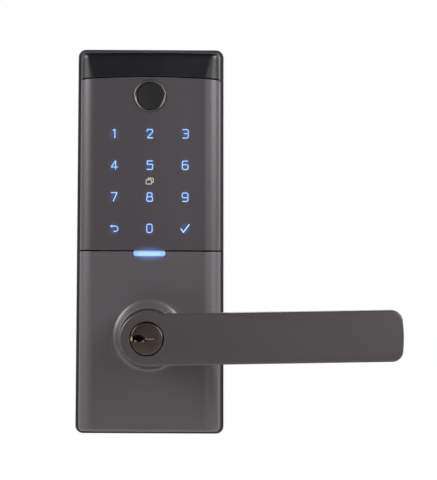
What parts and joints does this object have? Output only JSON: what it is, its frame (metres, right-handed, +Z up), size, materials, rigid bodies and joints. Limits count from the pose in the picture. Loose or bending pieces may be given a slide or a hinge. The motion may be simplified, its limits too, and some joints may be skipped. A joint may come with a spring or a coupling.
{
  "type": "keypad door lock with lever handle",
  "caption": "Outside half of an electronic door lock: slim dark plate with touch keypad, fingerprint sensor, light bar, sprung lever and key cylinder.",
  "frame": {"origin": "where the spindle's axis meets the door's face, midway between the two fixing posts", "axes": "+X to the right as seen from the front, where the lever points; +Y through the door, away from the viewer; +Z up"},
  "size_m": [0.1486, 0.1, 0.1785],
  "materials": {
    "graphite_paint": "satin dark graphite metallic paint on die-cast metal, fine flake",
    "lever_paint": "satin dark graphite metallic paint, slightly smoother than the covers",
    "gloss_black": "high-gloss piano black moulding",
    "sensor_black": "satin black coated sensor face",
    "housing_black": "black powder coat, low sheen",
    "rubber_black": "matt black elastomer",
    "zinc_steel": "zinc-plated steel, fine drawn texture",
    "screw_steel": "zinc-plated screws",
    "spring_steel": "drawn spring wire",
    "sintered_steel": "sintered and machined steel",
    "dark_bronze": "dark bronze plated brass, worn brighter at the keyway",
    "pin_brass": "turned brass",
    "bush_bronze": "oil-filled sintered bronze",
    "board_green": "green solder mask over fibreglass",
    "chip_black": "black moulded chip bodies",
    "connector_cream": "cream nylon sockets",
    "flex_amber": "amber polyimide ribbon",
    "antenna_copper": "etched copper track",
    "led_lens": "clear blue-white LED chips",
    "light_pipe": "translucent light pipe, lit blue",
    "diffuser_white": "white translucent diffuser",
    "nylon_ivory": "self-lubricating nylon",
    "motor_steel": "plated motor can",
    "lead_insulation": "one red and one black insulated lead"
  },
  "bodies": {
    "base": {"gasket": "rubber_black", "rear_housing": "housing_black", "back_plate": "zinc_steel", "plate_screws": "screw_steel", "cover_screws": "screw_steel", "fixing_posts": "zinc_steel", "upper_post": "zinc_steel", "cable_grommet": "rubber_black", "lower_cover": "graphite_paint", "keypad_panel": "graphite_paint", "top_cap": "gloss_black", "light_bar": "light_pipe", "light_board": "board_green", "fingerprint_ring": "lever_paint", "fingerprint_sensor": "sensor_black", "keypad_light_guide": "diffuser_white", "touch_board": "board_green", "key_leds": "led_lens", "card_antenna": "antenna_copper", "main_board": "board_green", "board_spacers": "pin_brass", "board_screws": "screw_steel", "board_chips": "chip_black", "board_connectors": "connector_cream", "buzzer": "chip_black", "sensor_flex": "flex_amber", "touch_flex": "flex_amber", "motor_bracket": "zinc_steel", "bracket_screws": "screw_steel", "clutch_motor": "motor_steel", "motor_leads": "lead_insulation", "lever_bush": "bush_bronze", "lever_spring": "spring_steel", "lever_stops": "zinc_steel"},
    "lever": {"lever": "lever_paint", "drive_sleeve": "sintered_steel", "lever_washer": "nylon_ivory", "lever_set_screw": "screw_steel", "cylinder_body": "dark_bronze", "driver_pins": "pin_brass", "pin_springs": "spring_steel", "chamber_caps": "pin_brass", "clutch_spring": "spring_steel"},
    "plug": {"cylinder_plug": "dark_bronze", "key_pins": "pin_brass", "plug_clip": "spring_steel", "tailpiece": "zinc_steel"},
    "spindle": {"spindle_hub": "sintered_steel", "square_spindle": "zinc_steel"},
    "clutch_pin": {"clutch_pin": "sintered_steel"},
    "clutch_shoe": {"clutch_shoe": "sintered_steel"},
    "motor_screw": {"motor_screw": "pin_brass"}
  },
  "joints": [
    {"name": "lever_turn", "type": "hinge", "parent": "base", "child": "lever", "pos_m": [0, -0.03, 0], "axis": [0, 1, 0], "range_deg": [-45, 45], "stiffness_Nm_per_rad": 2.5, "springref_deg": -3.15, "deforming": ["lever_spring"]},
    {"name": "plug_turn", "type": "hinge", "parent": "lever", "child": "plug", "pos_m": [0, -0.045, 0], "axis": [0, 1, 0], "range_deg": [-90, 90]},
    {"name": "hub_turn", "type": "hinge", "parent": "base", "child": "spindle", "pos_m": [0, -0.004, 0], "axis": [0, 1, 0], "range_deg": [-45.1, 45.1]},
    {"name": "screw_turn", "type": "hinge", "parent": "base", "child": "motor_screw", "pos_m": [0, -0.012, 0.03], "axis": [0, 0, -1], "range_deg": [0, 724]},
    {"name": "shoe_slide", "type": "slide", "parent": "base", "child": "clutch_shoe", "axis": [0, 0, 1], "range_m": [0, 0.0022]},
    {"name": "pin_slide", "type": "slide", "parent": "lever", "child": "clutch_pin", "axis": [0, 0, 1], "range_m": [0, 0.00221], "deforming": ["clutch_spring"]}
  ],
  "couplings": [
    {"joint": "hub_turn", "follows": "lever_turn", "ratio": 1},
    {"joint": "screw_turn", "follows": "shoe_slide", "rad_per_m": 5712},
    {"joint": "pin_slide", "follows": "shoe_slide", "ratio": 1}
  ]
}
